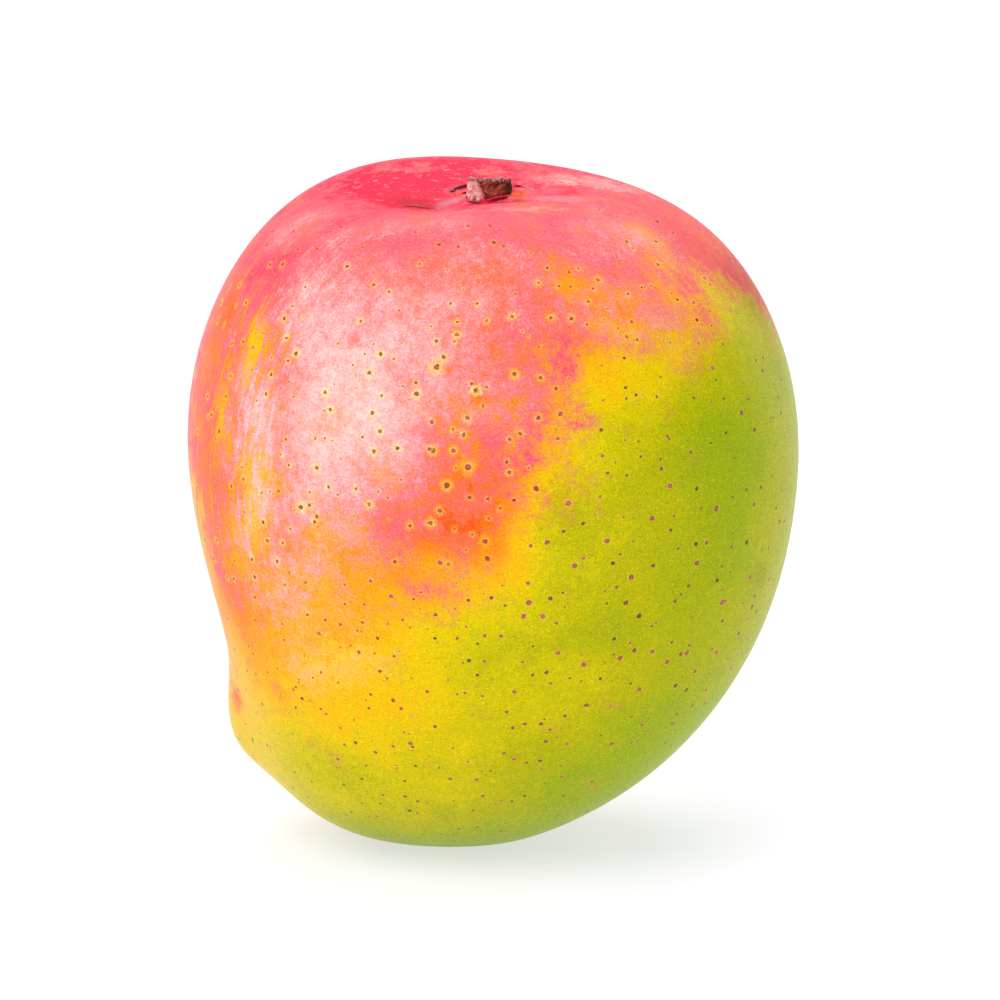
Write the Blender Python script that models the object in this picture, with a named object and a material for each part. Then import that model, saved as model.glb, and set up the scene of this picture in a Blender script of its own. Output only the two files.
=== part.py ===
"""A mango that stands on a small flat spot, with the stub of its stem in the basin on top.

The scene is in metres with +Z up. +X points to the full side of the fruit, -X to its beak,
and -Y to the cheek that faces the viewer. The origin is the middle of the flat spot.
"""

import math
from collections import namedtuple

import bmesh
import bpy
from mathutils import Matrix, Vector

# Plain form of the fruit, before its swells and hollows. Its own axis runs through the stem.
HALF_WIDTH = 0.0468
HALF_THICKNESS = 0.042
HALF_HEIGHT = 0.0532
PLAN_FULLNESS = 2.1
SIDE_FULLNESS = 2.23
SHOULDER_FLARE = 0.09
FULL_SIDE_FLARE = 0.02
BOW = 0.0040
LEAN = 0.0019

# How it stands: nodding a little towards the viewer, on a spot pressed flat.
NOD = math.radians(6)
FLAT_DEPTH = 0.0009

# Woody stub of the stem, oval in plan, and the hole that it stands in.
STEM_ALONG = 0.0037
STUB_RADIUS = 0.0034
STUB_OVALNESS = 0.7
STUB_HEIGHT = 0.0032
SOCKET_DEPTH = 0.0024
FIT_GAP = 0.0003
STUB_BULGE = 0.05
STUB_RIDGES = 7
STUB_RIDGE_HEIGHT = 0.0002
STUB_RIDGE_TURN = math.radians(85)
BREAK_SLOPE_ALONG = 0.03
BREAK_SLOPE_BACK = -0.14

FRUIT_SEGMENTS = 72
FRUIT_RINGS = 64
RING_CROWDING = 0.35
STUB_SEGMENTS = 28
STUB_RINGS = 7

# A swell or, with a negative rise, a hollow: its middle and its two spreads in degrees, seen
# from the middle of the fruit. Around runs from +X towards +Y, and up is above the equator.
Swell = namedtuple("Swell", "around up wide high rise")

SWELLS = {
    "beak": Swell(180, -43.5, 8.6, 6.2, 0.0042),
    "sinus": Swell(180, -29.5, 22, 20, -0.0038),
    "chin": Swell(180, -57.5, 28, 18.5, 0.0028),
    "left shoulder": Swell(165, 67, 24, 12, 0.0019),
    "right shoulder": Swell(0, 53, 30, 12, 0.0008),
    "right slope": Swell(40, 68, 16, 8, -0.0004),
    "seat": Swell(-6, -80, 12, 9, 0.0012),
    "near lip": Swell(-84, 75, 12, 4.5, 0.0009),
    "left pocket": Swell(-155, 75, 8, 6, -0.0010),
    "right groove": Swell(5, 76, 3.5, 7, -0.0008),
}

# The stem basin lies across the top, so its middle and spreads are angles from the stem's
# axis, along X and along Y.
BASIN_ALONG = -6.0
BASIN_SPREAD_ALONG = 13.0
BASIN_SPREAD_ACROSS = 8.0
BASIN_DEPTH = 0.0060

SHARP_ANGLE = math.radians(35)
SKIN_COLOUR = (0.80, 0.42, 0.16, 1.0)
SKIN_ROUGHNESS = 0.38
BARK_COLOUR = (0.23, 0.10, 0.06, 1.0)
BARK_ROUGHNESS = 0.85


def clear_scene():
    for obj in list(bpy.data.objects):
        bpy.data.objects.remove(obj, do_unlink=True)


def new_collection(name):
    collection = bpy.data.collections.new(name)
    bpy.context.scene.collection.children.link(collection)
    return collection


def new_material(name, colour, roughness):
    material = bpy.data.materials.new(name)
    material.use_nodes = True
    shader = material.node_tree.nodes["Principled BSDF"]
    shader.inputs["Base Color"].default_value = colour
    shader.inputs["Roughness"].default_value = roughness
    shader.inputs["Metallic"].default_value = 0.0
    return material


def direction(around, up):
    around, up = math.radians(around), math.radians(up)
    return Vector((math.cos(up) * math.cos(around), math.cos(up) * math.sin(around), math.sin(up)))


def swell_at(ray, swell):
    """How far this swell lifts the skin along a ray from the middle of the fruit."""
    middle = direction(swell.around, swell.up)
    east = direction(swell.around + 90, 0)
    north = middle.cross(east)
    turned = math.degrees(ray.angle(middle))
    sideways = Vector((ray.dot(east), ray.dot(north)))
    if sideways.length > 0:
        sideways = sideways.normalized() * turned
    return swell.rise * math.exp(-0.5 * ((sideways.x / swell.wide) ** 2 + (sideways.y / swell.high) ** 2))


def basin_at(ray):
    """How far the stem basin sinks the skin along a ray."""
    if ray.z <= 0:
        return 0.0
    along = math.degrees(math.atan2(ray.x, ray.z)) - BASIN_ALONG
    across = math.degrees(math.atan2(ray.y, ray.z))
    spread = (along / BASIN_SPREAD_ALONG) ** 2 + (across / BASIN_SPREAD_ACROSS) ** 2
    return -BASIN_DEPTH * math.exp(-0.5 * spread)


def skin_point(ray):
    """The point of the fruit's skin that a ray of the unit sphere becomes."""
    x, y, z = ray.x / HALF_WIDTH, ray.y / HALF_THICKNESS, ray.z / HALF_HEIGHT
    plan = (abs(x) ** PLAN_FULLNESS + abs(y) ** PLAN_FULLNESS) ** (1 / PLAN_FULLNESS)
    reach = (plan**SIDE_FULLNESS + abs(z) ** SIDE_FULLNESS) ** (-1 / SIDE_FULLNESS)
    x, y, z = x * reach, y * reach, z * reach
    flare = 1 + SHOULDER_FLARE * z
    plain = Vector(
        (
            HALF_WIDTH * x * flare + BOW * (1 - z * z) + LEAN * z,
            HALF_THICKNESS * y * flare * (1 + FULL_SIDE_FLARE * x),
            HALF_HEIGHT * z,
        )
    )
    lift = sum(swell_at(ray, swell) for swell in SWELLS.values()) + basin_at(ray)
    return plain + ray * lift


def crowd_rings(ray):
    """Moves a ring of the sphere towards its nearer pole, where the basin and the flat spot are."""
    down = math.acos(max(-1.0, min(1.0, ray.z)))
    down -= RING_CROWDING * math.sin(2 * down) / 2
    level = Vector((ray.x, ray.y, 0))
    if level.length > 0:
        level.normalize()
    return level * math.sin(down) + Vector((0, 0, math.cos(down)))


def box_between(low, high):
    body = bmesh.new()
    bmesh.ops.create_cube(body, size=1.0)
    bmesh.ops.scale(body, vec=high - low, verts=body.verts)
    bmesh.ops.translate(body, vec=(high + low) / 2, verts=body.verts)
    return body


def oval_drum(along, across, low, high):
    """A closed drum with an oval section, between two heights."""
    body = bmesh.new()
    middle = Matrix.Translation((0, 0, (low + high) / 2))
    bmesh.ops.create_cone(
        body,
        cap_ends=True,
        cap_tris=False,
        segments=STUB_SEGMENTS,
        radius1=1.0,
        radius2=1.0,
        depth=high - low,
        matrix=middle,
    )
    bmesh.ops.scale(body, vec=Vector((along, across, 1)), verts=body.verts)
    return body


def new_object(name, collection, body):
    mesh = bpy.data.meshes.new(name)
    body.to_mesh(mesh)
    body.free()
    obj = bpy.data.objects.new(name, mesh)
    collection.objects.link(obj)
    return obj


def cut_with(obj, cutter):
    cutter.hide_render = True
    cutter.display_type = "WIRE"
    cut = obj.modifiers.new(cutter.name, "BOOLEAN")
    cut.operation = "DIFFERENCE"
    cut.solver = "EXACT"
    cut.object = cutter


def smooth(mesh):
    mesh.shade_smooth()
    mesh.set_sharp_from_angle(angle=SHARP_ANGLE)


def make_skin():
    """The fruit's closed skin, still about its own middle."""
    body = bmesh.new()
    bmesh.ops.create_uvsphere(body, u_segments=FRUIT_SEGMENTS, v_segments=FRUIT_RINGS, radius=1.0)
    for vertex in body.verts:
        vertex.co = skin_point(crowd_rings(vertex.co.normalized()))
    return body


def standing_place(body):
    """The middle of the flat spot, once the fruit nods forward, from the middle of the fruit."""
    points = [Matrix.Rotation(NOD, 3, "X") @ vertex.co for vertex in body.verts]
    floor = min(point.z for point in points) + FLAT_DEPTH
    pressed = [point for point in points if point.z < floor]
    low = Vector((min(point.x for point in pressed), min(point.y for point in pressed), floor))
    high = Vector((max(point.x for point in pressed), max(point.y for point in pressed), floor))
    return (low + high) / 2


def stand(obj, place, middle):
    """Sets an object at a point of the upright fruit, and nods it forward with the fruit."""
    obj.rotation_euler = (NOD, 0, 0)
    obj.location = Matrix.Rotation(NOD, 3, "X") @ middle - place


def make_fruit(parts, cutters, skin):
    body = make_skin()
    place = standing_place(body)
    fruit = new_object("fruit", parts, body)
    smooth(fruit.data)
    fruit.data.materials.append(skin)
    stand(fruit, place, Vector((0, 0, 0)))

    reach = 2 * HALF_WIDTH
    floor = box_between(Vector((-reach, -reach, -reach)), Vector((reach, reach, 0)))
    cut_with(fruit, new_object("under_floor", cutters, floor))
    return fruit, place


def stub_point(point):
    """Gives the stub ridges of bark where it stands free, and an uneven, slanting break on top."""
    angle = math.atan2(point.y, point.x)
    free = max(0.0, point.z / STUB_HEIGHT)
    ridge = STUB_RIDGE_HEIGHT / STUB_RADIUS * math.cos(STUB_RIDGES * angle + STUB_RIDGE_TURN)
    wider = 1 + free * (STUB_BULGE + ridge)
    lift = free * (BREAK_SLOPE_ALONG * point.x + BREAK_SLOPE_BACK * point.y)
    return Vector((point.x * wider, point.y * wider, point.z + lift))


def make_stub(parts, cutters, bark, fruit, place):
    """The stub and its socket, both measured from the basin's floor at the stem."""
    ray = Vector((STEM_ALONG - LEAN, 0, HALF_HEIGHT)).normalized()
    floor = Vector((STEM_ALONG, 0, skin_point(ray).z))
    across = STUB_RADIUS * STUB_OVALNESS

    hole = oval_drum(STUB_RADIUS + FIT_GAP, across + FIT_GAP, -SOCKET_DEPTH, 2 * STUB_HEIGHT)
    socket = new_object("stem_socket", cutters, hole)
    stand(socket, place, floor)
    cut_with(fruit, socket)

    body = oval_drum(STUB_RADIUS, across, FIT_GAP - SOCKET_DEPTH, STUB_HEIGHT)
    upright = [edge for edge in body.edges if abs(edge.verts[0].co.z - edge.verts[1].co.z) > STUB_HEIGHT]
    bmesh.ops.subdivide_edges(body, edges=upright, cuts=STUB_RINGS, use_grid_fill=True)
    for vertex in body.verts:
        vertex.co = stub_point(vertex.co)
    stub = new_object("stem_stub", parts, body)
    smooth(stub.data)
    stub.data.materials.append(bark)
    stand(stub, place, floor)


def main():
    clear_scene()
    parts = new_collection("mango")
    cutters = new_collection("cutters")
    skin = new_material("skin", SKIN_COLOUR, SKIN_ROUGHNESS)
    bark = new_material("bark", BARK_COLOUR, BARK_ROUGHNESS)
    fruit, place = make_fruit(parts, cutters, skin)
    make_stub(parts, cutters, bark, fruit, place)


main()
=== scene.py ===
"""A mango on a pale floor: its waxy skin with blush, pale wax with painted sheen, painted shade and
lenticels, and its stem's dry stub.
"""

import math

import bpy
from mathutils import Matrix, Vector


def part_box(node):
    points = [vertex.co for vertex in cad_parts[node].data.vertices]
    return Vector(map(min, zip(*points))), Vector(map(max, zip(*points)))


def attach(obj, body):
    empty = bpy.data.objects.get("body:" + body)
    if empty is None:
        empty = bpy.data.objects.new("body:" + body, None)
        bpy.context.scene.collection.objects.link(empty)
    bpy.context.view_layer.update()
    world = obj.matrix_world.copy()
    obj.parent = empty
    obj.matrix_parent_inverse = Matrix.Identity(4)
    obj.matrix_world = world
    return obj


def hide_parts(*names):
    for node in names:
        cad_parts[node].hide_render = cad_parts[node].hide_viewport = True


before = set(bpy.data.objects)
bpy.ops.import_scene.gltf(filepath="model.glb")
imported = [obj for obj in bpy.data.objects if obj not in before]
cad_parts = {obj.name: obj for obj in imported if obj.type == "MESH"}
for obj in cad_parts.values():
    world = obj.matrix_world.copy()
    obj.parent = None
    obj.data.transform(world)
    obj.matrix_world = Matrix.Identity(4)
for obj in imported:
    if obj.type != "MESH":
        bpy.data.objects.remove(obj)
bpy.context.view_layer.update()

# The view. Picture points are in a frame of 1000 by 1000, with PER_MM of them to a mm at the aim.
AIM = Vector((0.00734, -0.00207, 0.05377))
CAMERA_AWAY = 0.9
CAMERA_HEIGHT = math.radians(12)
LENS = 210.6
SENSOR = 36.0
PICTURE = 1000
PER_MM = 6.5
TO_MM = 1000.0

# The fruit nods forward, and the stem's stub with it.
NOD = math.radians(6)
STEM_UP = Vector((0, -math.sin(NOD), math.cos(NOD)))

# Outputs of nodes by their number: a Texture Coordinate node's normal and object coordinates, the
# number that a Vector Math node gives, and the colour of a Noise Texture node.
NORMAL, OBJECT = 1, 3
NUMBER = 1
TINT = 1
# A Mix node's sockets for colours.
MIX_UNDER, MIX_OVER, MIX_RESULT = 6, 7, 2


def colour(red, green, blue):
    """A colour as a picture editor gives it, from 0 to 255, in the renderer's own scale."""
    shares = [value / 255 for value in (red, green, blue)]
    return tuple(s / 12.92 if s <= 0.04045 else ((s + 0.055) / 1.055) ** 2.4 for s in shares) + (1.0,)


def deselect_all():
    for obj in bpy.context.selected_objects:
        obj.select_set(False)


def make_active(obj):
    deselect_all()
    obj.select_set(True)
    bpy.context.view_layer.objects.active = obj


def apply_modifier(obj, kind, **settings):
    make_active(obj)
    modifier = obj.modifiers.new(kind.lower(), kind)
    for name, value in settings.items():
        setattr(modifier, name, value)
    bpy.ops.object.modifier_apply(modifier=modifier.name)


def settle(obj):
    """Puts an object's place into its mesh, so that the object itself sits at the origin."""
    make_active(obj)
    bpy.ops.object.transform_apply(location=True, rotation=True, scale=True)


def select_faces(obj, wanted):
    """Selects, in edit mode, the faces for which wanted(face) is true."""
    make_active(obj)
    bpy.ops.object.mode_set(mode="EDIT")
    bpy.ops.mesh.select_mode(type="FACE")
    bpy.ops.mesh.select_all(action="DESELECT")
    bpy.ops.object.mode_set(mode="OBJECT")
    for face in obj.data.polygons:
        face.select = wanted(face)
    bpy.ops.object.mode_set(mode="EDIT")


def stub_middle():
    low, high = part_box("stem_stub")
    return (low + high) / 2


# Camera, lights and floor

# Each lamp: azimuth and height in degrees, distance, width and length in m, and power in W.
LAMPS = {
    "key": (-38, 50, 2.2, 1.6, 1.6, 25.0),
    "backdrop": (180, 62, 1.9, 1.6, 1.0, 14.0),
    "right_strip": (126, 16, 0.8, 0.2, 0.8, 0.8),
    "left_strip": (-125, 10, 0.8, 0.12, 0.6, 0.12),
}
SKY_STRENGTH = 0.60
# The floor reaches far behind the fruit. It is light grey and glows a little, so that the shadow
# on it stays pale.
FLOOR_SIZE = 8
FLOOR_PLACE = (0, 1.5, -0.0001)
FLOOR_TONE = (0.50, 0.50, 0.50, 1)
FLOOR_GLOW = (0.9, 0.9, 1.0, 1)
FLOOR_GLOW_STRENGTH = 0.62


def set_camera():
    data = bpy.data.cameras.new("camera")
    data.lens = LENS
    data.sensor_width = SENSOR
    data.clip_start = 0.05
    data.clip_end = 20
    camera = bpy.data.objects.new("camera", data)
    bpy.context.scene.collection.objects.link(camera)
    back = Vector((0, -math.cos(CAMERA_HEIGHT), math.sin(CAMERA_HEIGHT)))
    camera.location = AIM + back * CAMERA_AWAY
    camera.rotation_euler = (math.pi / 2 - CAMERA_HEIGHT, 0, 0)
    bpy.context.scene.camera = camera


def softbox(name, azimuth, height, away, wide, tall, power):
    """A soft light that faces the fruit. Azimuth 0 is behind the camera and 90 on the right."""
    a, e = math.radians(azimuth), math.radians(height)
    towards = Vector((math.sin(a) * math.cos(e), -math.cos(a) * math.cos(e), math.sin(e)))
    data = bpy.data.lights.new(name, "AREA")
    data.shape = "RECTANGLE"
    data.size = wide
    data.size_y = tall
    data.energy = power
    light = bpy.data.objects.new(name, data)
    bpy.context.scene.collection.objects.link(light)
    light.location = AIM + towards * away
    light.rotation_mode = "QUATERNION"
    light.rotation_quaternion = (-towards).to_track_quat("-Z", "Y")


def light_the_studio():
    scene = bpy.context.scene
    scene.view_settings.view_transform = "Standard"
    scene.view_settings.look = "None"
    world = bpy.data.worlds.new("studio")
    scene.world = world
    world.use_nodes = True
    air = world.node_tree.nodes["Background"]
    air.inputs["Color"].default_value = (1.0, 1.0, 1.0, 1.0)
    air.inputs["Strength"].default_value = SKY_STRENGTH
    for name, lamp in LAMPS.items():
        softbox(name, *lamp)


def lay_floor():
    bpy.ops.mesh.primitive_plane_add(size=FLOOR_SIZE, location=FLOOR_PLACE)
    floor = bpy.context.object
    floor.name = "floor"
    material = bpy.data.materials.new("pale floor")
    material.use_nodes = True
    shader = material.node_tree.nodes["Principled BSDF"]
    shader.inputs["Base Color"].default_value = FLOOR_TONE
    shader.inputs["Emission Color"].default_value = FLOOR_GLOW
    shader.inputs["Emission Strength"].default_value = FLOOR_GLOW_STRENGTH
    shader.inputs["Roughness"].default_value = 0.9
    shader.inputs["Specular IOR Level"].default_value = 0.0
    floor.data.materials.append(material)
    settle(floor)


# The fruit's form

# In m: how near two corners are merged, what is cut out of the copy around the stem's socket, and
# the ball that is drawn in onto the copy.
MERGE = 0.000005
SOCKET_RADIUS = 0.0039
SOCKET_DEPTH = 0.002
BALL_SIZE = 0.17
# Around the stub: within how many m of it the faces are made finer, each time by half, and within
# how many the basin and the folds are shaped. A stroke ends at STROKE_ENDS times its half width.
FINER_WITHIN = (0.017, 0.010, 0.0065)
BASIN_REACH = 0.032
FOLDS_REACH = 0.02
STROKE_ENDS = 3.5


def merged_form(fruit):
    """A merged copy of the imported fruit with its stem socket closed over, to draw the skin onto."""
    form = fruit.copy()
    form.data = fruit.data.copy()
    form.name = "form"
    form.parent = None
    bpy.context.scene.collection.objects.link(form)
    make_active(form)
    bpy.ops.object.mode_set(mode="EDIT")
    bpy.ops.mesh.select_all(action="SELECT")
    bpy.ops.mesh.remove_doubles(threshold=MERGE)
    bpy.ops.object.mode_set(mode="OBJECT")
    middle = stub_middle()
    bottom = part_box("stem_stub")[0].z - SOCKET_DEPTH

    def in_socket(face):
        aside = face.center - middle
        aside -= STEM_UP * aside.dot(STEM_UP)
        return face.center.z > bottom and aside.length < SOCKET_RADIUS

    select_faces(form, in_socket)
    bpy.ops.mesh.delete(type="FACE")
    bpy.ops.mesh.select_mode(type="EDGE")
    bpy.ops.mesh.select_non_manifold(extend=False)
    bpy.ops.mesh.edge_face_add()
    bpy.ops.object.mode_set(mode="OBJECT")
    return form


def ball_on(form, name):
    """An even ball of quads drawn in onto a form."""
    low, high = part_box("fruit")
    deselect_all()
    bpy.ops.mesh.primitive_cube_add(size=BALL_SIZE, location=(low + high) / 2)
    ball = bpy.context.object
    ball.name = name
    apply_modifier(ball, "SUBSURF", levels=5, render_levels=5)
    apply_modifier(ball, "CAST", factor=1.0, cast_type="SPHERE")
    apply_modifier(
        ball,
        "SHRINKWRAP",
        target=form,
        wrap_method="PROJECT",
        use_negative_direction=True,
        use_positive_direction=True,
    )
    settle(ball)
    return ball


def finer_near_stem(skin):
    """Smaller faces in the basin, for the folds and the cracked skin around the stub."""
    middle = stub_middle()
    for reach in FINER_WITHIN:
        select_faces(skin, lambda face: (face.center - middle).length < reach)
        bpy.ops.mesh.subdivide(number_cuts=1)
        bpy.ops.object.mode_set(mode="OBJECT")


def draw_skin(fruit):
    """The fruit's skin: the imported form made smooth, with finer faces around the stem."""
    form = merged_form(fruit)
    smooth_form = ball_on(form, "smooth_form")
    apply_modifier(smooth_form, "SUBSURF", levels=2, render_levels=2)
    skin = ball_on(form, "mango_skin")
    apply_modifier(skin, "SUBSURF", levels=1, render_levels=1)
    finer_near_stem(skin)
    make_active(skin)
    bpy.ops.object.shade_smooth()
    apply_modifier(skin, "SHRINKWRAP", target=smooth_form, wrap_method="NEAREST_SURFACEPOINT")
    bpy.data.objects.remove(form)
    bpy.data.objects.remove(smooth_form)
    return skin


# The basin's floor in front of the stub and the lip before it. Each is a stroke between two points
# in mm from the stub, X right and Y back, with its half width and its lift in mm.
BASIN = {
    "near floor": (-8.0, -6.0, 11.0, -6.0, 2.3, -1.0),
    "near lip": (-9.0, -12.5, 12.0, -12.5, 2.8, -0.85),
    "lip crest": (-9.0, -10.6, 12.0, -10.6, 0.9, 0.25),
}
# Folds of the skin around the stub. Each is a stroke between two picture points, with its half
# width and its lift in mm. A negative lift presses the skin in.
FOLDS = {
    "pocket floor": (392, 204, 436, 206, 0.9, -0.35),
    "pocket crease": (404, 208, 440, 205, 0.35, -0.35),
    "left ridge": (446, 205, 464, 197, 0.55, 0.38),
    "left crack": (452, 190, 467, 186, 0.28, -0.75),
    "left crack below": (456, 195, 468, 193, 0.25, -0.6),
    "collar": (466, 202, 508, 200, 0.85, 0.55),
    "right crack": (511, 184, 532, 190, 0.28, -0.75),
    "right crack end": (532, 190, 548, 196, 0.25, -0.3),
    "orange fold": (503, 196, 520, 192, 1.0, 0.65),
    "right furrow": (522, 198, 590, 204, 0.9, -0.3),
    "right fold": (530, 194, 560, 200, 0.7, 0.22),
}


def distance_to_stroke(place, start, end):
    along = (place - start).dot(end - start) / (end - start).length_squared
    return (place - start.lerp(end, max(0.0, min(1.0, along)))).length


def lift_along(skin, strokes, reach, flatten=Vector((1, 1, 1))):
    """Lifts the skin by each stroke, which fades out to its sides. Only within reach of the stub."""
    middle = stub_middle()
    moves = {}
    for vertex in skin.data.vertices:
        if (vertex.co - middle).length > reach:
            continue
        lift = 0.0
        for start, end, half_width, height in strokes:
            share = distance_to_stroke(vertex.co * flatten, start, end) / half_width
            if share < STROKE_ENDS:
                lift += height * math.exp(-0.5 * share * share)
        moves[vertex.index] = vertex.normal * lift
    for index, move in moves.items():
        skin.data.vertices[index].co += move
    skin.data.update()


def shape_basin(skin):
    """Opens the basin towards the viewer, so that its floor shows in front of the stub."""
    level = Vector((1, 1, 0))
    middle = stub_middle() * level
    strokes = []
    for x1, y1, x2, y2, half_width, lift in BASIN.values():
        start = middle + Vector((x1, y1, 0)) / TO_MM
        end = middle + Vector((x2, y2, 0)) / TO_MM
        strokes.append((start, end, half_width / TO_MM, lift / TO_MM))
    lift_along(skin, strokes, BASIN_REACH, level)


def fold_skin(skin, easel):
    """Presses the creases and raises the folds around the stub."""
    strokes = []
    for x1, y1, x2, y2, half_width, lift in FOLDS.values():
        strokes.append((easel.place(x1, y1), easel.place(x2, y2), half_width / TO_MM, lift / TO_MM))
    lift_along(skin, strokes, FOLDS_REACH)


# The stub

# In mm: its size, how far its top leans to the right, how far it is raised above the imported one,
# and how fine its mesh is. Its depth and its top are shares of its width.
STUB_RADIUS = 3.5
STUB_LENGTH = 5.2
STUB_LEAN = 0.22
STUB_RAISED = 0.6
STUB_VOXEL = 0.085
STUB_DEPTH_SHARE = 0.7
STUB_TOP_SHARE = 0.93
# Where it is broken: a point of each broken face, and the way that the face looks.
STUB_BREAKS = {
    "torn top": ((0.0, -2.3, 2.75), (0.02, 0.28, 0.96)),
    "left front": ((-3.0, -1.2, 2.2), (-0.75, -0.3, 0.55)),
    "chipped corner": ((3.5, -0.6, 2.1), (0.75, -0.2, 0.6)),
    "right foot": ((2.9, -1.7, -0.6), (0.5, -0.6, -0.6)),
}
# Its relief: the size and the strength of each kind.
STUB_RELIEF = ((2.2, 0.7), (0.8, 0.3))
# Its fibres: how far each kind is drawn out, its size and its strength.
STUB_FIBRES = ((5.0, 0.45, 0.40), (8.0, 0.18, 0.18))
# The hollow in its top, as the wood shrinks more than its bark: the rim's width, the width of the
# hollow's side and its depth.
STUB_RIM, STUB_HOLLOW_SIDE, STUB_HOLLOW = 0.35, 0.25, 0.35
# How far up a face looks that counts as the top.
TOP_FACING = 0.9


def add_relief(obj, size, strength, depth=2, towards="NORMAL"):
    """Raises and sinks a surface by soft noise of a given size."""
    noise = bpy.data.textures.new("relief", "CLOUDS")
    noise.noise_scale = size
    noise.noise_depth = depth
    apply_modifier(obj, "DISPLACE", texture=noise, strength=strength, mid_level=0.5, direction=towards)


def break_off_stub():
    """The stub's form: a flattened round stalk that leans a little, broken off at four places."""
    deselect_all()
    bpy.ops.mesh.primitive_cylinder_add(
        vertices=48, radius=STUB_RADIUS, depth=STUB_LENGTH, location=(0, 0, 0)
    )
    stub = bpy.context.object
    stub.name = "dry_stub"
    select_faces(stub, lambda face: face.normal.z > TOP_FACING)
    bpy.ops.transform.resize(value=(STUB_TOP_SHARE, STUB_TOP_SHARE, 1.0))
    bpy.ops.transform.translate(value=(STUB_LEAN, 0.0, 0.0))
    bpy.ops.mesh.select_all(action="SELECT")
    bpy.ops.transform.resize(value=(1.0, STUB_DEPTH_SHARE, 1.0))
    for place, facing in STUB_BREAKS.values():
        bpy.ops.mesh.select_all(action="SELECT")
        bpy.ops.mesh.bisect(plane_co=place, plane_no=facing, use_fill=True, clear_outer=True)
    bpy.ops.object.mode_set(mode="OBJECT")
    select_faces(stub, lambda face: face.normal.z > TOP_FACING and face.center.z > 0)
    bpy.ops.mesh.inset(thickness=STUB_RIM, depth=0.0)
    bpy.ops.mesh.inset(thickness=STUB_HOLLOW_SIDE, depth=-STUB_HOLLOW)
    bpy.ops.object.mode_set(mode="OBJECT")
    apply_modifier(stub, "REMESH", mode="VOXEL", voxel_size=STUB_VOXEL)
    apply_modifier(stub, "SMOOTH", factor=0.5, iterations=5)
    return stub


def draw_fibres(stub):
    """Noise laid on sideways while the stub is pressed short, so that it is drawn out along it."""
    for stretch, size, strength in STUB_FIBRES:
        stub.scale = (1, 1, 1 / stretch)
        settle(stub)
        add_relief(stub, size, strength, 3, "X")
        add_relief(stub, size, strength, 3, "Y")
        stub.scale = (1, 1, stretch)
        settle(stub)


def carve_stub():
    """The dry stub of the stalk, modelled in mm about its own middle and then set in place."""
    stub = break_off_stub()
    for size, strength in STUB_RELIEF:
        add_relief(stub, size, strength)
    draw_fibres(stub)
    apply_modifier(stub, "SMOOTH", factor=0.3, iterations=1)
    make_active(stub)
    bpy.ops.object.shade_smooth()
    stub.scale = (1 / TO_MM, 1 / TO_MM, 1 / TO_MM)
    stub.rotation_euler = (NOD, 0, 0)
    stub.location = stub_middle() + STEM_UP * STUB_RAISED / TO_MM
    settle(stub)
    return stub


# Paint: helpers that lay down shader nodes


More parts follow.
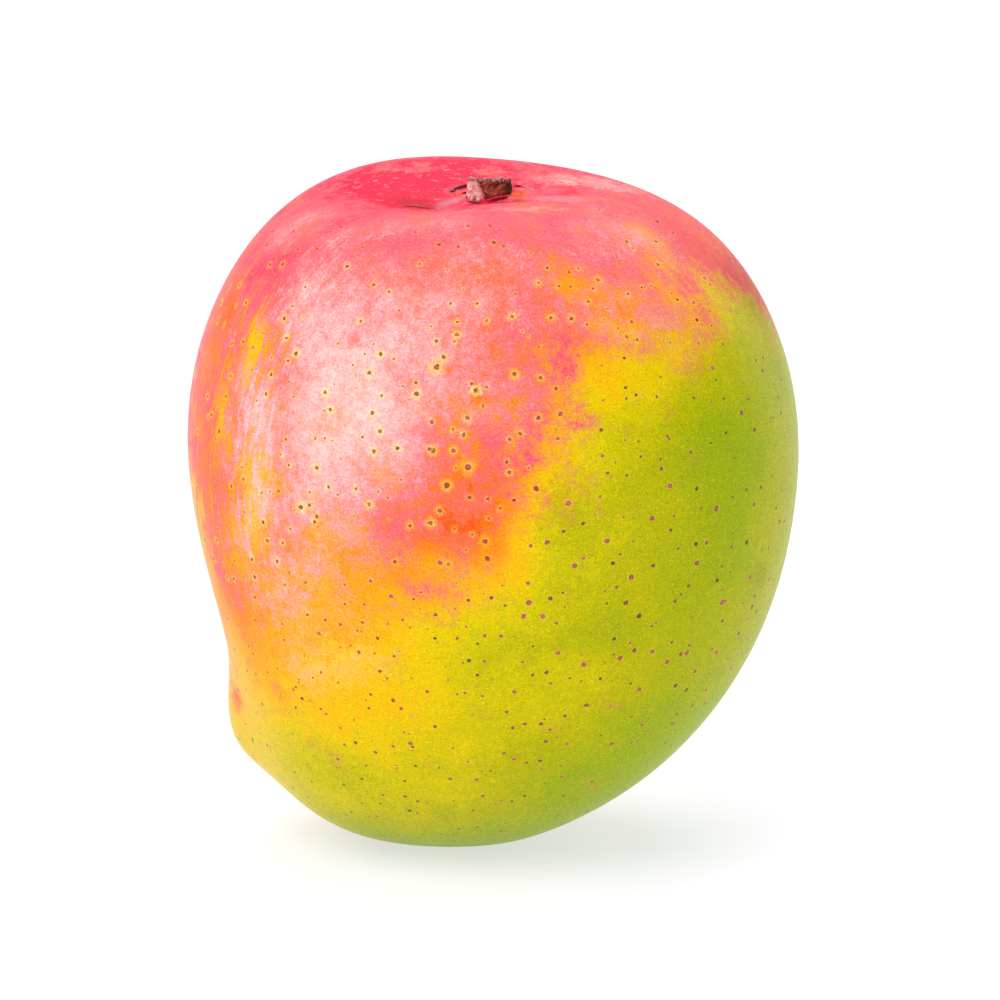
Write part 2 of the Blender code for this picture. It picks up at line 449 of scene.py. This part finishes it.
class Paint:
    """One node tree, with short calls for the nodes that the finishes are mixed from."""

    def __init__(self, tree):
        self.tree = tree

    def add(self, kind, settings=None, output=0, **inputs):
        node = self.tree.nodes.new(kind)
        for name, value in (settings or {}).items():
            setattr(node, name, value)
        for name, value in inputs.items():
            index = int(name[1:]) if name[0] == "i" and name[1:].isdigit() else name.replace("_", " ")
            self.feed(node.inputs[index], value)
        return node.outputs[output]

    def feed(self, socket, value):
        if isinstance(value, bpy.types.NodeSocket):
            self.tree.links.new(value, socket)
        else:
            socket.default_value = value

    def sum(self, a, b):
        return self.add("ShaderNodeMath", {"operation": "ADD"}, i0=a, i1=b)

    def times(self, a, b):
        return self.add("ShaderNodeMath", {"operation": "MULTIPLY"}, i0=a, i1=b)

    def less(self, a, b):
        return self.add("ShaderNodeMath", {"operation": "SUBTRACT"}, i0=a, i1=b)

    def math(self, operation, a, b=0.0):
        return self.add("ShaderNodeMath", {"operation": operation}, i0=a, i1=b)

    def vector(self, operation, a, b=None, output=0):
        node = self.tree.nodes.new("ShaderNodeVectorMath")
        node.operation = operation
        self.feed(node.inputs[0], a)
        if b is not None:
            self.feed(node.inputs[3 if operation == "SCALE" else 1], b)
        return node.outputs[output]

    def fade(self, value, at_zero, at_one):
        """0 where the value is at_zero, 1 where it is at_one, and smooth between."""
        return self.add(
            "ShaderNodeMapRange",
            {"interpolation_type": "SMOOTHSTEP"},
            i0=value,
            i1=at_zero,
            i2=at_one,
            i3=0.0,
            i4=1.0,
        )

    def mix(self, share, under, over, blend="MIX"):
        node = self.tree.nodes.new("ShaderNodeMix")
        node.data_type = "RGBA"
        node.blend_type = blend
        node.clamp_factor = True
        self.feed(node.inputs[0], share)
        self.feed(node.inputs[MIX_UNDER], under)
        self.feed(node.inputs[MIX_OVER], over)
        return node.outputs[MIX_RESULT]

    def noise(self, coords, scale, detail=2.0, roughness=0.5, stretch=None, output=0):
        if stretch:
            coords = self.vector("MULTIPLY", coords, stretch)
        return self.add(
            "ShaderNodeTexNoise",
            {"noise_dimensions": "3D"},
            output,
            Vector=coords,
            Scale=scale,
            Detail=detail,
            Roughness=roughness,
        )

    def clouds(self, coords, scale, detail=4.0, roughness=0.6, stretch=None, shift=0.0):
        """Noise that swings about 0, mostly between -1 and 1."""
        if shift:
            coords = self.vector("ADD", coords, (shift, -0.7 * shift, 0.4 * shift))
        return self.times(self.less(self.noise(coords, scale, detail, roughness, stretch), 0.5), 4.0)

    def blend(self, start, *layers):
        """A value with several layers added, each a pair of a value and its strength."""
        for value, strength in layers:
            start = self.sum(start, self.times(value, strength))
        return start

    def bump(self, height, strength, distance):
        return self.add("ShaderNodeBump", Height=height, Strength=strength, Distance=distance)

    def ramp(self, value, stops):
        """The colour at a value, from a list of places between 0 and 1 and their colours."""
        node = self.tree.nodes.new("ShaderNodeValToRGB")
        node.color_ramp.interpolation = "EASE"
        ladder = node.color_ramp.elements
        while len(ladder) < len(stops):
            ladder.new(0.5)
        for step, (place, tone) in zip(ladder, stops):
            step.position = place
            step.color = tone
        self.feed(node.inputs[0], value)
        return node.outputs[0]


def wash_tool():
    """A node group that adds a soft-edged patch of more or less of something to a value."""
    group = bpy.data.node_groups.new("wash", "ShaderNodeTree")
    for name, kind in (
        ("Coords", "NodeSocketVector"),
        ("Middle", "NodeSocketVector"),
        ("Turn", "NodeSocketFloat"),
        ("Reach", "NodeSocketVector"),
        ("Inner", "NodeSocketFloat"),
        ("Strength", "NodeSocketFloat"),
        ("Before", "NodeSocketFloat"),
    ):
        group.interface.new_socket(name, in_out="INPUT", socket_type=kind)
    group.interface.new_socket("After", in_out="OUTPUT", socket_type="NodeSocketFloat")
    start = group.nodes.new("NodeGroupInput")
    end = group.nodes.new("NodeGroupOutput")
    paint = Paint(group)
    placed = paint.vector("SUBTRACT", start.outputs["Coords"], start.outputs["Middle"])
    placed = paint.add(
        "ShaderNodeVectorRotate", {"rotation_type": "Z_AXIS"}, Vector=placed, Angle=start.outputs["Turn"]
    )
    placed = paint.vector("DIVIDE", placed, start.outputs["Reach"])
    out = paint.vector("LENGTH", placed, output=NUMBER)
    inside = paint.fade(out, 1.0, start.outputs["Inner"])
    after = paint.sum(start.outputs["Before"], paint.times(inside, start.outputs["Strength"]))
    group.links.new(after, end.inputs[0])
    return group


class Easel:
    """Knows where a point of the picture lies on the skin, and how the painting's coordinates run.

    They are in mm from the aim: X right and Y up in the picture, and Z towards the viewer.
    """

    def __init__(self, skin):
        self.skin = skin
        self.turn = Matrix.Rotation(CAMERA_HEIGHT - math.pi / 2, 3, "X")
        self.eye = AIM + self.turn.transposed() @ Vector((0, 0, CAMERA_AWAY))
        self.tool = wash_tool()

    def place(self, x, y):
        """The place on the skin under a picture point.

        Beside the fruit, it is the point that is as far away as the aim.
        """
        half = PICTURE / 2
        per_pixel = SENSOR / LENS / PICTURE
        ray = Vector(((x - half) * per_pixel, (half - y) * per_pixel, -1)).normalized()
        ray = self.turn.transposed() @ ray
        hit, place, _, _ = self.skin.ray_cast(self.eye, ray)
        if hit:
            return place
        return AIM + self.turn.transposed() @ Vector((x - half, half - y, 0)) / PER_MM / TO_MM

    def on_skin(self, x, y):
        """The same place in the painting's coordinates."""
        return self.turn @ (self.place(x, y) - AIM) * TO_MM

    def coords(self, paint):
        """Painting coordinates as nodes."""
        placed = paint.add(
            "ShaderNodeMapping",
            {"vector_type": "POINT"},
            Vector=paint.add("ShaderNodeTexCoord", output=OBJECT),
            Location=self.turn @ -AIM,
            Rotation=self.turn.to_euler(),
        )
        return paint.vector("SCALE", placed, TO_MM)

    def field(self, paint, coords, start, washes):
        """A value that starts the same all over and is raised or lowered by each wash in turn.

        The first of the coordinates are for broad washes, and the second for small ones.
        """
        value = start
        for x, y, wide, tall, tilt, inner, strength, *deep in washes.values():
            depth = deep[0] if deep else max(wide, tall)
            small = min(wide, tall) < SMALL_WASH
            node = paint.tree.nodes.new("ShaderNodeGroup")
            node.node_tree = self.tool
            paint.feed(node.inputs["Coords"], coords[1] if small else coords[0])
            node.inputs["Middle"].default_value = self.on_skin(x, y)
            node.inputs["Turn"].default_value = -math.radians(tilt)
            node.inputs["Reach"].default_value = (wide / PER_MM, tall / PER_MM, depth / PER_MM)
            node.inputs["Inner"].default_value = inner
            node.inputs["Strength"].default_value = strength
            paint.feed(node.inputs["Before"], value)
            value = node.outputs["After"]
        return value


# Each wash: picture x and y of its middle, half width and half height in picture points, tilt in
# degrees, the share of it that is at full strength, and its strength. A last number is its half
# depth, which is otherwise the larger of the two others. A small wash is less than SMALL_WASH
# picture points in half width or half height.
SMALL_WASH = 45

# From orange-yellow at 0 to full green at 1.
GREENING = {
    "full side": (820, 560, 480, 480, 0, 0.46, 0.79, 600),
    "underside": (450, 960, 520, 400, 0, 0.3, 0.62, 600),
    "deep green": (725, 460, 95, 95, 20, 0.2, 0.18),
    "yellow shoulder": (612, 375, 90, 50, -25, 0.2, -0.14),
    "orange shoulder": (655, 305, 115, 55, -14, 0.2, -0.2),
    "full side low": (725, 560, 75, 65, 0, 0.2, 0.1),
    "orange belt": (480, 515, 105, 75, -38, 0.1, -0.26),
    "low yellow": (585, 690, 130, 62, 0, 0.2, -0.15),
    "low middle": (485, 645, 180, 90, 0, 0.2, 0.26),
    "belt": (562, 525, 62, 75, -10, 0.2, 0.14),
    "foot": (440, 858, 230, 60, 0, 0.3, 0.3),
    "low left": (300, 745, 130, 70, -20, 0.2, 0.14),
    "left flank": (243, 400, 45, 180, 4, 0.2, 0.16),
    "left rim": (200, 525, 13, 95, 11, 0.0, 0.4, 130),
}
# How much of the ground the blush covers.
BLUSHING = {
    "crown": (450, 120, 510, 285, 0, 0.45, 1.02, 620),
    "cheek": (250, 400, 340, 340, 0, 0.55, 0.8, 600),
    "right shoulder": (738, 262, 135, 85, -35, 0.3, 0.62, 250),
    "middle": (520, 350, 120, 130, 10, 0.3, 0.44),
    "salmon shoulder": (640, 324, 135, 62, -4, 0.3, 0.5),
    "upper right": (622, 262, 120, 44, -8, 0.2, 0.26),
    "far shoulder": (712, 306, 48, 40, -30, 0.2, 0.22),
    "belt salmon": (548, 462, 90, 85, -40, 0.2, 0.26),
    "ember": (455, 508, 85, 62, 20, 0.0, 0.3),
    "low left": (332, 612, 165, 100, 20, 0.2, -0.46),
    "low middle": (425, 592, 66, 44, 0, 0.2, 0.26),
    "left flank": (256, 335, 15, 90, -16, 0.0, -0.5),
    "left flank middle": (222, 420, 16, 80, -4, 0.0, -0.42),
    "left flank low": (250, 520, 46, 120, -2, 0.1, -0.36),
    "sinus": (225, 630, 44, 90, 10, 0.2, -0.42),
    "left rim": (200, 525, 13, 95, 11, 0.0, -0.5, 130),
    "beak tip": (238, 700, 22, 26, 0, 0.0, 0.6, 60),
    "green corner": (790, 480, 160, 130, 0, 0.4, -0.5),
}
# How blotchy the blush is.
MOTTLING = {
    "belt": (500, 440, 170, 150, -30, 0.3, 0.4),
    "low left": (300, 610, 130, 130, 0, 0.3, 0.5),
    "right shoulder": (680, 290, 130, 90, -20, 0.2, -0.25),
    "cheek": (350, 370, 110, 130, 10, 0.3, -0.5),
    "pocket": (430, 182, 120, 34, 0, 0.3, 1.1, 90),
}
# From orange red at 0 through coral to crimson at 1.
REDDENING = {
    "crown": (450, 170, 360, 85, 0, 0.3, 0.34, 300),
    "cheek": (335, 390, 160, 210, 10, 0.2, 0.26),
    "front of the crest": (470, 225, 170, 42, 0, 0.3, 0.16),
    "pocket wall": (410, 191, 74, 32, 6, 0.1, 0.72, 70),
    "left edge": (188, 300, 60, 170, -15, 0.2, 0.16),
    "left flank red": (224, 318, 22, 62, -22, 0.1, -0.34),
    "upper right": (640, 240, 140, 75, -25, 0.2, 0.14),
    "ember": (455, 512, 85, 60, 20, 0.0, -0.36),
    "belt": (500, 510, 190, 120, -35, 0.0, -0.14),
    "low left": (300, 640, 170, 140, 0, 0.2, -0.26),
    "left flank": (235, 440, 70, 210, 5, 0.2, -0.2),
    "left shoulder": (290, 248, 120, 70, 34, 0.2, 0.22),
    "beak tip": (236, 697, 24, 30, 0, 0.3, -0.9, 40),
    "stem foot": (514, 194, 17, 8, 6, 0.1, -1.3, 20),
    # Painted shade: deeper crimson under the stub.
    "painted shade under the stub": (488, 199, 26, 4, 4, 0.2, 0.9, 20),
    "behind the stub": (488, 172, 26, 5, 0, 0.0, -0.55, 20),
}
# Pale wax that veils what is under it, with painted highlight: the broad sheen on the left cheek and the
# pale reflection bands along the right edge are painted here.
WAX_AND_SHEEN = {
    "left cheek": (345, 392, 140, 190, 12, 0.1, 0.7),
    "left flank": (246, 440, 40, 150, 4, 0.2, 0.27),
    "left flank red": (214, 330, 26, 80, -16, 0.2, -0.3),
    "left shoulder": (300, 285, 130, 75, 34, 0.1, 0.18),
    "upper left": (300, 224, 84, 34, 30, 0.2, 0.34),
    "middle": (460, 295, 130, 80, -5, 0.1, 0.38),
    "middle low": (480, 390, 110, 80, -20, 0.1, 0.34),
    "red patch": (405, 386, 40, 36, 20, 0.0, -0.14),
    "low left": (290, 560, 125, 170, 8, 0.2, 0.38),
    "crest mid": (540, 245, 230, 48, -8, 0.2, 0.22),
    "right edge": (802, 450, 26, 190, 2, 0.5, 0.2, 150),
    "right edge low": (757, 640, 28, 120, -30, 0.5, 0.2, 150),
    "upper right": (640, 232, 120, 45, -18, 0.2, 0.26),
    "crown right": (600, 183, 130, 18, -6, 0.2, 0.5, 60),
    "crest": (390, 228, 110, 18, 8, 0.2, 0.15),
    "salmon shoulder": (622, 314, 110, 54, -8, 0.2, 0.32),
    "low left veil": (340, 670, 100, 52, 8, 0.2, 0.3),
    "near lip": (520, 209, 90, 5, 3, 0.2, 0.3, 30),
}
# Where the colour lies in streaks along the fruit.
STREAKING = {
    "left flank": (225, 420, 85, 260, 2, 0.4, 1.1),
    "left shoulder": (300, 260, 160, 110, 35, 0.3, 0.6),
    "right shoulder": (720, 290, 120, 90, -40, 0.3, 0.4),
}
# How many of the lenticels there are, and how big.
SPOTS = {
    "crown": (460, 150, 400, 100, 0, 0.5, -0.35, 400),
    "green corner": (700, 420, 110, 90, 0, 0.2, -0.3),
}
SPOT_SIZES = {
    "middle": (480, 450, 150, 130, -30, 0.3, 0.45),
    "low right": (660, 610, 250, 230, -30, 0.3, 0.25),
    "crown": (460, 150, 400, 130, 0, 0.5, -0.3, 400),
}
# How strong their yellow halos are.
HALOS = {
    "crown": (440, 165, 420, 170, 0, 0.6, -0.95, 420),
}
# Painted shade: darker, browner skin on the right shoulder, at the edges of the sides, in the pocket and
# in the hollow behind the crest.
PAINTED_SHADE = {
    "upper right": (690, 245, 80, 42, -32, 0.2, 0.22),
    "right shoulder": (750, 285, 70, 50, -45, 0.0, 0.8, 130),
    "behind the crest": (500, 202, 44, 4.5, 4, 0.4, 0.9, 30),
    "pocket": (415, 203, 42, 10, -6, 0.2, 0.8, 30),
    "full side edge": (758, 576, 20, 24, -30, 0.0, 0.4, 40),
    "left rim": (196, 525, 9, 90, 11, 0.1, 0.4, 110),
}
# Dark dry cracks in the skin beside the stub, and dark lines painted as shade under the stub's foot and
# in the pocket's crease.
CRACKS_AND_SHADE = {
    "left": (461, 187, 11, 2.2, 18, 0.2, 1.0, 12),
    "left tip": (452, 192, 9, 1.4, 22, 0.2, 0.7, 10),
    "left foot": (466, 193, 5, 2.2, 10, 0.2, 1.0, 10),
    "right": (520, 187, 12, 2.0, -18, 0.2, 1.0, 12),
    # Painted shade: these three lines lie under the stub's foot and in the pocket's crease.
    "foot": (474, 202, 12, 1.5, -8, 0.2, 0.9, 14),
    "right foot": (499, 199, 14, 2.0, 10, 0.2, 1.0, 14),
    "pocket": (418, 207, 28, 1.8, -4, 0.0, 0.75, 16),
}
# Grey-mauve bare skin around the cracks.
GREYING = {
    "left ridge": (450, 201, 26, 7, 22, 0.2, 0.65, 20),
    "left crack": (455, 190, 16, 6, 18, 0.2, 0.5, 20),
    "right furrow": (560, 199, 52, 5, -4, 0.2, 0.6, 30),
    "right line": (530, 189, 20, 1.6, -24, 0.3, 0.8, 12),
}

# Where the crown's flecks are.
FLECKING = {
    "crown": (470, 180, 330, 62, 0, 0.5, 1.0, 200),
}

# The lenticels, small and large: the size of a cell in mm, the share of the cells that have one,
# and about the radius of the largest in mm.
LENTICELS = ((2.75, 0.97, 0.42), (7.0, 0.95, 0.50))

# The streaks' coordinates: the move in m that brings the fruit's long axis to the origin, and what
# a mm along the axis counts for, where a radian around it counts for 1.
TO_AXIS = (-0.006, 0.003, -0.053)
STREAK_STRETCH = 0.0042

# The ground, from orange-yellow to green.
GROUND_TONES = [
    (0.0, colour(255, 160, 20)),
    (0.2, colour(253, 188, 6)),
    (0.38, colour(234, 200, 0)),
    (0.56, colour(208, 196, 0)),
    (0.72, colour(188, 184, 0)),
    (0.86, colour(173, 181, 0)),
    (1.0, colour(156, 177, 0)),
]
# The blush, from orange red to crimson.
BLUSH_TONES = [
    (0.0, colour(250, 88, 20)),
    (0.25, colour(250, 110, 70)),
    (0.5, colour(248, 106, 98)),
    (0.75, colour(246, 88, 108)),
    (1.0, colour(238, 24, 70)),
]
# The stub's bark, from the dark of its grooves to its pale ridges, and its torn wood.
BARK_TONES = [
    (0.34, colour(58, 18, 18)),
    (0.45, colour(112, 42, 30)),
    (0.55, colour(158, 80, 50)),
    (0.66, colour(206, 142, 104)),
]
WOOD_TONES = [
    (0.36, colour(214, 96, 104)),
    (0.48, colour(240, 176, 172)),
    (0.62, colour(252, 226, 220)),
]


def lenticels(easel, paint, flat, cell, share, core, numbers, sizes):
    """Small corky discs, each around the point of a cell where that lies near the skin.

    Gives how far a place lies from the nearest disc's middle, in radii of the disc, the disc's
    own tone and bigness, and a share that fades before the next cell begins.
    """
    scaled = paint.vector("SCALE", flat, 1 / cell)
    cells = paint.tree.nodes.new("ShaderNodeTexVoronoi")
    cells.inputs["Scale"].default_value = 1.0
    cells.inputs["Randomness"].default_value = 0.85
    paint.feed(cells.inputs["Vector"], scaled)
    outward = paint.add(
        "ShaderNodeMapping",
        {"vector_type": "VECTOR"},
        Vector=paint.add("ShaderNodeTexCoord", output=NORMAL),
        Rotation=easel.turn.to_euler(),
    )
    to_point = paint.vector("SUBTRACT", cells.outputs["Position"], scaled)
    depth = paint.vector("DOT_PRODUCT", to_point, outward, output=NUMBER)
    away = paint.vector("DOT_PRODUCT", to_point, to_point, output=NUMBER)
    whole = paint.fade(away, 0.25, 0.1)
    away = paint.math("SQRT", paint.math("MAXIMUM", paint.less(away, paint.times(depth, depth))))
    draws = paint.tree.nodes.new("ShaderNodeSeparateColor")
    paint.feed(draws.inputs["Color"], cells.outputs["Color"])
    chance, bigness, tone = draws.outputs
    # Discs grow smaller towards the edge of the layer, so that none is cut through.
    shrink = paint.fade(paint.math("ABSOLUTE", depth), 0.27, 0.16)
    chosen = paint.math("LESS_THAN", chance, paint.times(numbers, share))
    radius = paint.sum(paint.times(bigness, 0.5), paint.times(sizes, 0.75))
    radius = paint.times(paint.math("MAXIMUM", radius, 0.32), core / cell)
    radius = paint.times(radius, paint.sum(paint.times(shrink, 0.75), 0.25))
    away = paint.math("DIVIDE", away, radius)
    # Where there is no disc, the place counts as far away from one.
    missing = paint.less(1.0, paint.times(chosen, paint.math("GREATER_THAN", shrink, 0.02)))
    return paint.sum(away, paint.times(missing, 100.0)), tone, bigness, whole


def streak_coords(paint):
    """Coordinates that are drawn out along the fruit from the stem down."""
    along = paint.add(
        "ShaderNodeMapping",
        {"vector_type": "POINT"},
        Vector=paint.add("ShaderNodeTexCoord", output=OBJECT),
        Location=TO_AXIS,
        Rotation=(-NOD, 0, 0),
    )
    along = paint.vector("SCALE", along, TO_MM)
    ring = paint.vector("NORMALIZE", paint.vector("MULTIPLY", along, (1, 1, 0)))
    return paint.vector("ADD", ring, paint.vector("MULTIPLY", along, (0, 0, STREAK_STRETCH)))


def add_lenticels(easel, paint, flat, base, cover, wax_and_sheen):
    """Lenticels: a dark corky middle, a thin pale ring, and a yellow halo where the skin is red."""
    numbers = easel.field(paint, (flat, flat), 1.0, SPOTS)
    sizes = easel.field(paint, (flat, flat), 0.3, SPOT_SIZES)
    halos = easel.field(paint, (flat, flat), 1.0, HALOS)
    wobble = paint.blend(1.0, (paint.clouds(flat, 2.6, 2.0, 0.6), 0.32))
    ragged = paint.blend(1.0, (paint.clouds(flat, 1.3, 3.0, 0.7, shift=23.0), 0.4))
    halo_tone = paint.mix(paint.fade(wax_and_sheen, 0.05, 0.65), colour(255, 178, 24), colour(255, 226, 156))
    ring_tone = paint.mix(cover, colour(232, 168, 106), colour(254, 222, 160))
    for cell, share, core in LENTICELS:
        away, tone, bigness, whole = lenticels(easel, paint, flat, cell, share, core, numbers, sizes)
        away = paint.times(away, wobble)
        halo = paint.times(paint.fade(paint.times(away, ragged), 4.0, 0.9), whole)
        rim = paint.fade(away, 1.7, 1.15)
        middle = paint.fade(away, 1.2, 0.8)
        heart = paint.fade(away, 0.75, 0.15)
        halo = paint.times(halo, paint.times(cover, halos))
        halo = paint.times(halo, paint.sum(paint.times(bigness, 0.6), 0.3))
        base = paint.mix(halo, base, halo_tone)
        ring = paint.times(rim, paint.times(paint.sum(paint.times(tone, 0.5), 0.05), halos))
        base = paint.mix(ring, base, ring_tone)
        dark = paint.mix(tone, colour(92, 26, 56), colour(172, 66, 58))
        base = paint.mix(paint.times(middle, 0.88), base, dark)
        base = paint.mix(paint.times(heart, paint.times(tone, 0.7)), base, colour(206, 130, 132))
    return base


def skin_material(easel):
    """Waxy skin: a yellow and green ground under blush, pale wax with painted sheen, and painted shade,
    with lenticels and fine grain.
    """
    material = bpy.data.materials.new("waxy mango skin")
    material.use_nodes = True
    shader = material.node_tree.nodes["Principled BSDF"]
    paint = Paint(material.node_tree)
    flat = easel.coords(paint)
    grain = streak_coords(paint)

    # Uneven edges: everything painted on is shifted a little by clouds of two sizes.
    grey = (0.5, 0.5, 0.5)
    big = paint.vector("SUBTRACT", paint.noise(flat, 0.06, 3.0, 0.55, output=TINT), grey)
    fine = paint.vector("SUBTRACT", paint.noise(flat, 0.35, 3.0, 0.6, output=TINT), grey)
    frayed = paint.vector("ADD", flat, paint.vector("SCALE", fine, 2.5))
    coords = (paint.vector("ADD", frayed, paint.vector("SCALE", big, 14.0)), frayed)
    torn = paint.vector("ADD", flat, paint.vector("SCALE", fine, 0.9))

    # Noise that the colours are varied with, streaked along the fruit or from broad to fine.
    streaks = paint.clouds(grain, 70.0, 3.0)
    broad_streaks = paint.clouds(grain, 26.0, 4.0)
    patches = paint.clouds(flat, 0.13, 6.0, 0.62)
    clouds = paint.clouds(flat, 0.21, 6.0, 0.62, shift=37.0)
    mottles = paint.clouds(flat, 0.75, 5.0, 0.68, shift=11.0)
    specks = paint.clouds(flat, 2.8, 3.0, 0.7)
    streaking = easel.field(paint, coords, 0.12, STREAKING)
    streaky = paint.times(paint.blend(streaks, (broad_streaks, 1.0)), streaking)

    greening = easel.field(paint, coords, 0.06, GREENING)
    greening = paint.blend(
        greening, (patches, 0.12), (mottles, 0.11), (broad_streaks, 0.04), (specks, 0.07)
    )
    ground = paint.ramp(greening, GROUND_TONES)

    mottling = easel.field(paint, coords, 0.9, MOTTLING)
    blushing = easel.field(paint, coords, 0.0, BLUSHING)
    blotches = paint.blend(0.0, (patches, 0.30), (clouds, 0.24), (mottles, 0.22), (specks, 0.09))
    blushing = paint.blend(blushing, (paint.times(blotches, mottling), 1.0), (streaky, 0.30))
    cover = paint.fade(blushing, 0.06, 0.92)

    # Where the blush is thin, it is more orange.
    reddening = easel.field(paint, coords, 0.5, REDDENING)
    tints = paint.blend(0.0, (clouds, 0.30), (mottles, 0.24), (specks, 0.08))
    reddening = paint.blend(reddening, (paint.times(tints, mottling), 1.0), (streaky, 0.25))
    reddening = paint.blend(reddening, (paint.less(cover, 0.9), 0.4))
    base = paint.mix(cover, ground, paint.ramp(reddening, BLUSH_TONES))

    # Pale wax, partly painted highlight and reflection, laid over the colour as a paler veil.
    wax_and_sheen = easel.field(paint, coords, -0.10, WAX_AND_SHEEN)
    wax_and_sheen = paint.blend(wax_and_sheen, (specks, 0.17), (mottles, 0.18), (clouds, 0.16), (streaky, 0.19))
    ground_veil = paint.mix(paint.fade(greening, 0.2, 0.6), colour(255, 210, 128), colour(184, 190, 96))
    veil = paint.mix(cover, ground_veil, colour(254, 224, 216))
    base = paint.mix(paint.fade(wax_and_sheen, 0.0, 1.0), base, veil)

    # Short crimson and pale flecks in the crown, which run across it.
    crown = easel.field(paint, coords, 0.0, FLECKING)
    deep = paint.fade(paint.clouds(frayed, 0.9, 5.0, 0.7, (0.4, 1.0, 0.6), 5.0), -0.2, 0.7)
    base = paint.mix(paint.times(paint.times(deep, crown), 0.75), base, colour(234, 30, 72))
    flecks = paint.fade(paint.clouds(frayed, 1.9, 4.0, 0.7, (0.35, 1.0, 0.6)), 0.25, 0.95)
    base = paint.mix(paint.times(paint.times(flecks, crown), 0.6), base, colour(255, 176, 166))

    base = add_lenticels(easel, paint, flat, base, cover, wax_and_sheen)

    # Fine grain of the skin, lighter and darker by a little.
    grit = paint.clouds(flat, 3.4, 2.0, 0.7, shift=19.0)
    base = paint.mix(paint.fade(grit, 0.0, 1.0), base, colour(255, 240, 200), "SOFT_LIGHT")
    shade = paint.times(paint.fade(grit, -0.05, -1.1), 0.42)
    base = paint.mix(shade, base, colour(160, 116, 84), "MULTIPLY")

    # Painted shade that makes places darker and browner, and the cracks at the stem with bare skin
    # around them; some of the dark lines are painted shade too.
    painted_shade = easel.field(paint, (frayed, torn), 0.0, PAINTED_SHADE)
    painted_shade = paint.times(painted_shade, paint.blend(1.0, (mottles, 0.4), (streaky, 0.5)))
    base = paint.mix(painted_shade, base, colour(214, 196, 176), "MULTIPLY")
    greying = easel.field(paint, (torn, torn), 0.0, GREYING)
    base = paint.mix(greying, base, colour(190, 146, 158))
    # Dark dry cracks, and dark lines painted as shade under the stub and in the pocket's crease.
    cracks_and_shade = easel.field(paint, (torn, torn), 0.0, CRACKS_AND_SHADE)
    cracks_and_shade = paint.fade(paint.blend(cracks_and_shade, (specks, 0.2)), 0.12, 0.6)
    base = paint.mix(paint.times(cracks_and_shade, 0.9), base, colour(58, 20, 32))

    paint.feed(shader.inputs["Base Color"], base)
    paint.feed(shader.inputs["Roughness"], paint.blend(0.36, (specks, 0.03), (wax_and_sheen, 0.12)))
    shader.inputs["IOR"].default_value = 1.16
    pores = paint.noise(flat, 2.2, 3.0, 0.6)
    paint.feed(shader.inputs["Normal"], paint.bump(pores, 0.5, 0.00004))
    return material


def bark_material():
    """Dry maroon bark with drawn-out grain, torn open to pale wood at the left, with painted shade
    darkening its right side.
    """
    material = bpy.data.materials.new("dry stalk bark")
    material.use_nodes = True
    shader = material.node_tree.nodes["Principled BSDF"]
    paint = Paint(material.node_tree)
    # Coordinates in mm from the stub's middle, with Z along it.
    upright = Matrix.Rotation(-NOD, 3, "X")
    own = paint.add(
        "ShaderNodeMapping",
        {"vector_type": "POINT"},
        Vector=paint.add("ShaderNodeTexCoord", output=OBJECT),
        Location=upright @ stub_middle() * -TO_MM,
        Rotation=(-NOD, 0, 0),
        Scale=(TO_MM, TO_MM, TO_MM),
    )
    leaning = paint.add("ShaderNodeMapping", {"vector_type": "POINT"}, Vector=own, Rotation=(0, 0.5, 0))
    grain = paint.noise(leaning, 2.4, 4.0, 0.65, (0.22, 1.0, 1.0))
    cells = paint.noise(own, 1.6, 3.0, 0.7)
    specks = paint.noise(own, 4.5, 2.0, 0.6)
    bark = paint.ramp(grain, BARK_TONES)
    wood = paint.ramp(cells, WOOD_TONES)
    axes = paint.tree.nodes.new("ShaderNodeSeparateXYZ")
    paint.feed(axes.inputs[0], own)
    across, backward, upward = axes.outputs
    # The tear runs from the foot at the middle up to the left of the top.
    tear = paint.sum(across, paint.times(upward, 0.35))
    tear = paint.sum(tear, paint.times(paint.less(cells, 0.5), 2.4))
    base = paint.mix(paint.fade(tear, -0.35, -0.95), bark, wood)
    # Painted shade: the bark's right side is darkened nearly to black.
    shade_at_right = paint.sum(across, paint.times(paint.less(grain, 0.5), 2.0))
    base = paint.mix(paint.times(paint.fade(shade_at_right, 2.1, 3.1), 0.8), base, colour(26, 8, 10))
    # Along the rim of the top, the bark is painted dark as shade and flecked with pale torn fibres.
    rim = paint.blend(upward, (backward, 0.29), (paint.less(specks, 0.5), 0.8))
    flecks_on_shade = paint.mix(paint.fade(specks, 0.46, 0.6), colour(92, 50, 56), colour(206, 174, 174))
    base = paint.mix(paint.times(paint.fade(rim, 2.0, 2.3), 0.8), base, flecks_on_shade)
    foot = paint.sum(upward, paint.times(paint.less(cells, 0.5), 1.6))
    base = paint.mix(paint.times(paint.fade(foot, 0.5, -0.4), 0.75), base, colour(110, 12, 20))
    paint.feed(shader.inputs["Base Color"], base)
    shader.inputs["Roughness"].default_value = 0.8
    shader.inputs["Specular IOR Level"].default_value = 0.3
    ridges = paint.sum(grain, paint.times(specks, 0.5))
    paint.feed(shader.inputs["Normal"], paint.bump(ridges, 0.7, 0.0004))
    return material


def dress(piece, material, node):
    piece.data.materials.clear()
    piece.data.materials.append(material)
    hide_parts(node)
    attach(piece, "root")


def main():
    set_camera()
    light_the_studio()
    lay_floor()
    skin = draw_skin(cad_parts["fruit"])
    shape_basin(skin)
    easel = Easel(skin)
    fold_skin(skin, easel)
    dress(skin, skin_material(easel), "fruit")
    dress(carve_stub(), bark_material(), "stem_stub")


main()
